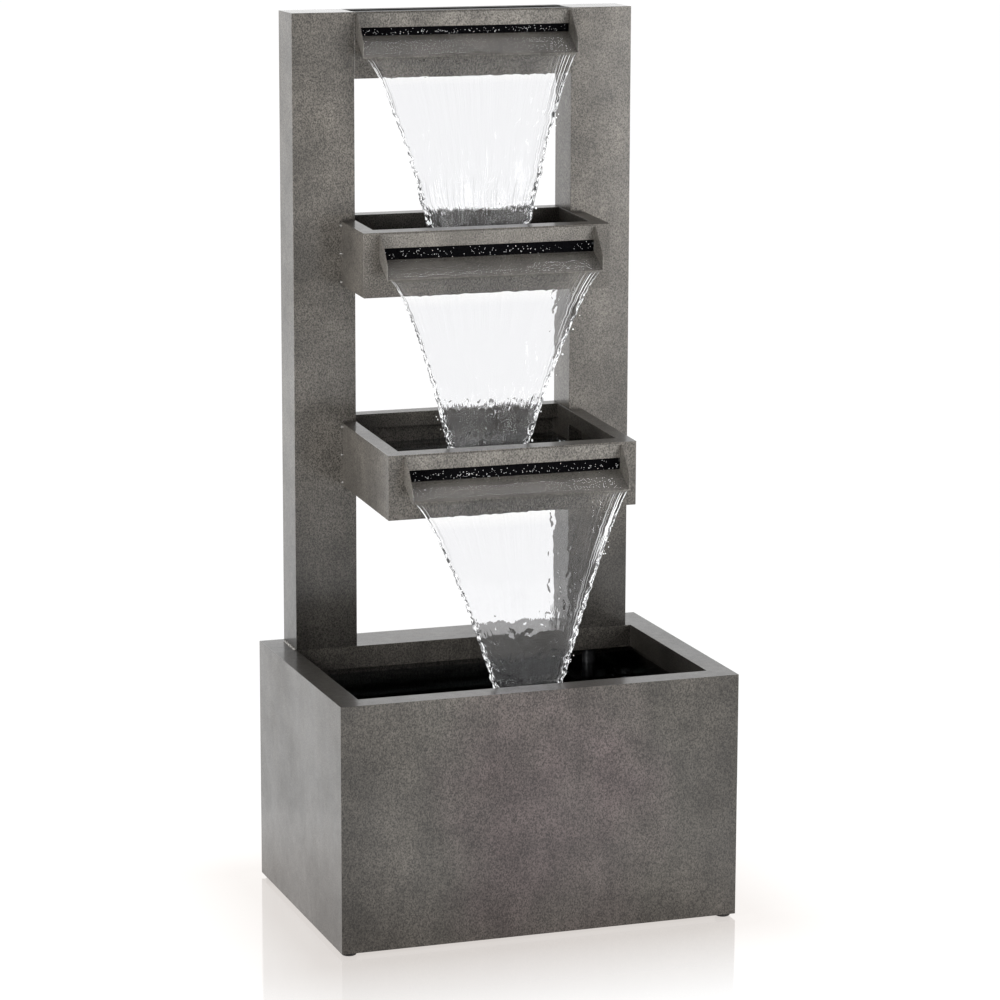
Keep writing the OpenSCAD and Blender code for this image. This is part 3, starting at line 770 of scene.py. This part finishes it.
def slot_places(level, slot_low, count, draw):
    """Drops that cling to the foam all over a slot, and most of all in its lower half."""
    first, last = low(level + "_spout"), high(level + "_spout")
    height = low(level + "_slot_strip").z - slot_low
    places = []
    for _ in range(count):
        radius = draw.uniform(0.0002, 0.00045)
        x = draw.uniform(first.x + 0.004, last.x - 0.004)
        z = slot_low + radius + draw.triangular(0, 0.9 * height, 0.3 * height)
        places.append(((x, last.y - 0.001 - radius * draw.uniform(0, 1), z), radius))
    return places


# ---- Studio ---------------------------------------------------------------

VIEW_TARGET = Vector((0.006, 0.0, 0.500))
VIEW_DISTANCE = 4.582
VIEW_AZIMUTH = 19.21        # the camera stands this far to the left of the front
VIEW_ELEVATION = 11.37
VIEW_ROLL = 0.16
LENS = 135.8                # millimetres, on a 36 mm sensor
SHINE_REACH = (0.03, 0.30)  # distances from the basin between which the floor's shine fades out


def place_camera():
    data = bpy.data.cameras.new("camera")
    data.lens = LENS
    data.sensor_width = 36.0
    data.clip_end = 200.0
    camera = bpy.data.objects.new("camera", data)
    azimuth = math.radians(VIEW_AZIMUTH)
    elevation = math.radians(VIEW_ELEVATION)
    back = Vector((
        -math.sin(azimuth) * math.cos(elevation),
        -math.cos(azimuth) * math.cos(elevation),
        math.sin(elevation),
    ))
    camera.location = VIEW_TARGET + back * VIEW_DISTANCE
    turn = back.to_track_quat("Z", "Y")
    camera.rotation_euler = turn.to_euler()
    camera.rotation_euler.rotate_axis("Z", math.radians(VIEW_ROLL))
    bpy.context.scene.collection.objects.link(camera)
    bpy.context.scene.camera = camera


def lay_floor():
    """A white floor that glows. Round the basin it glows less, and shines so that it mirrors the basin."""
    bm = bmesh.new()
    bmesh.ops.create_circle(bm, cap_ends=True, segments=96, radius=30.0)
    s = Shader("studio_floor", Metallic=0.0, Roughness=0.06, IOR=2.2, Emission_Strength=1.0)
    s.surface.inputs["Base Color"].default_value = rgba(0.1, 0.1, 0.1)
    shine = s.spread(s.outside(low("base_shell"), high("base_shell")), *SHINE_REACH, 1.0, 0.0)
    s.join("Specular IOR Level", s.multiply(shine, 0.5))
    s.join("Emission Color", s.mix(shine, rgba(0.96, 0.96, 0.96), rgba(0.625, 0.590, 0.565)))
    floor = object_from(bm, "studio_floor", s.material, smooth=False)
    floor.location.z = -GAP


def light_world():
    """White behind the fountain, much greyer in front of it and a little brighter overhead."""
    world = bpy.data.worlds.new("studio")
    world.use_nodes = True
    bpy.context.scene.world = world
    tree = world.node_tree
    parts = tree.nodes.new("ShaderNodeSeparateXYZ")
    tree.links.new(tree.nodes.new("ShaderNodeTexCoord").outputs["Generated"], parts.inputs[0])

    def fade(axis, start, end, first, last):
        made = tree.nodes.new("ShaderNodeMapRange")
        made.interpolation_type = "SMOOTHSTEP"
        for socket, value in (("From Min", start), ("From Max", end), ("To Min", first), ("To Max", last)):
            made.inputs[socket].default_value = value
        tree.links.new(parts.outputs[axis], made.inputs["Value"])
        return made.outputs[0]

    front_to_back = fade("Y", -0.3, 0.6, 0.22, 1.0)
    upwards = fade("Z", 0.30, 0.80, 1.0, 1.15)
    product = tree.nodes.new("ShaderNodeMath")
    product.operation = "MULTIPLY"
    tree.links.new(front_to_back, product.inputs[0])
    tree.links.new(upwards, product.inputs[1])
    background = tree.nodes["Background"]
    tree.links.new(product.outputs[0], background.inputs["Strength"])
    background.inputs["Color"].default_value = WHITE


def add_softbox(name, place, target, size, watts):
    data = bpy.data.lights.new(name, "AREA")
    data.shape = "RECTANGLE"
    data.size, data.size_y = size
    data.energy = watts
    lamp = bpy.data.objects.new(name, data)
    lamp.location = place
    lamp.rotation_euler = (Vector(place) - Vector(target)).to_track_quat("Z", "Y").to_euler()
    bpy.context.scene.collection.objects.link(lamp)


# ---- Making ---------------------------------------------------------------

# How far things lie below the front rim of their trough
SLOT_DOWN = {"top": 0.029, "middle": 0.033, "lower": 0.033}     # the bottom of the slot
STRIP_DOWN = 0.0015         # the top of a tray's slot strip
TROUGH_WATER_DOWN = 0.029   # the water's surface
BASIN_WATER_DOWN = 0.050    # the same below the basin's rim

# Width of the folded front rims
HEADER_RIM = 0.018
TRAY_RIM = 0.022

# Drops for each fall, and in each slot
SPLASHED_DROPS = 28
SHED_DROPS = 16
CLINGING_DROPS = {"top": 130, "middle": 110, "lower": 150}

rims = {
    "top": high("header_trough").z,
    "middle": high("middle_slot_strip").z + STRIP_DOWN,
    "lower": high("lower_slot_strip").z + STRIP_DOWN,
}
slot_lows = {level: rims[level] - SLOT_DOWN[level] for level in rims}
surfaces = {level: rims[level] - TROUGH_WATER_DOWN for level in rims}
basin_surface = high("base_shell").z - BASIN_WATER_DOWN

place_camera()
finish_nodes()
for level in rims:
    foam_bar(level + "_foam_bar", level + "_foam")

top_fall = Fall(
    "top", slot_lows["top"], surfaces["middle"], left_in=0.076, right_in=0.078, curl=0.72, seed=1.0
)
middle_fall = Fall(
    "middle", slot_lows["middle"], surfaces["lower"], left_in=0.070, right_in=0.114, curl=0.70, seed=31.0
)
lower_fall = Fall(
    "lower", slot_lows["lower"], basin_surface, left_in=0.103, right_in=0.110, curl=0.76, seed=62.0
)
falls = (top_fall, middle_fall, lower_fall)
for fall in falls:
    build_fall(fall)

header_plan = tray_plan("header_trough", "top_slot_strip", HEADER_RIM)
pool("header_water", header_plan, surfaces["top"], low("header_floor").z + SHEET + GAP)
for level, fall in (("middle", top_fall), ("lower", middle_fall)):
    plan = tray_plan(level + "_tray", level + "_slot_strip", TRAY_RIM)
    bottom = high(level + "_tray_floor").z + GAP
    pool(level + "_water", plan, surfaces[level], bottom, fall.foot())
first, last = low("base_shell"), high("base_shell")
inset = SHEET + GAP
basin_plan = [(first.x + inset, last.x - inset, first.y + inset, last.y - inset)]
bottom = high("base_floor").z + GAP
pool("basin_water", basin_plan, basin_surface, bottom, lower_fall.foot(), step=0.0035)

draw = random.Random(7)
spray = []
for fall in falls:
    spray += splash_places(fall, SPLASHED_DROPS, draw)
    spray += shed_places(fall, SHED_DROPS, draw)
drops("spray_drops", spray, seed=3)
clinging = []
for level, count in CLINGING_DROPS.items():
    clinging += slot_places(level, slot_lows[level], count, draw)
drops("slot_drops", clinging, seed=5)

lay_floor()
light_world()
add_softbox("right_softbox", place=(1.2, -1.4, 0.8), target=(0.1, 0, 0.7), size=(0.7, 0.9), watts=14)
add_softbox("left_softbox", place=(-1.1, -0.6, 0.75), target=(-0.1, 0, 0.7), size=(0.5, 0.6), watts=10)
bpy.context.scene.view_settings.view_transform = "Standard"
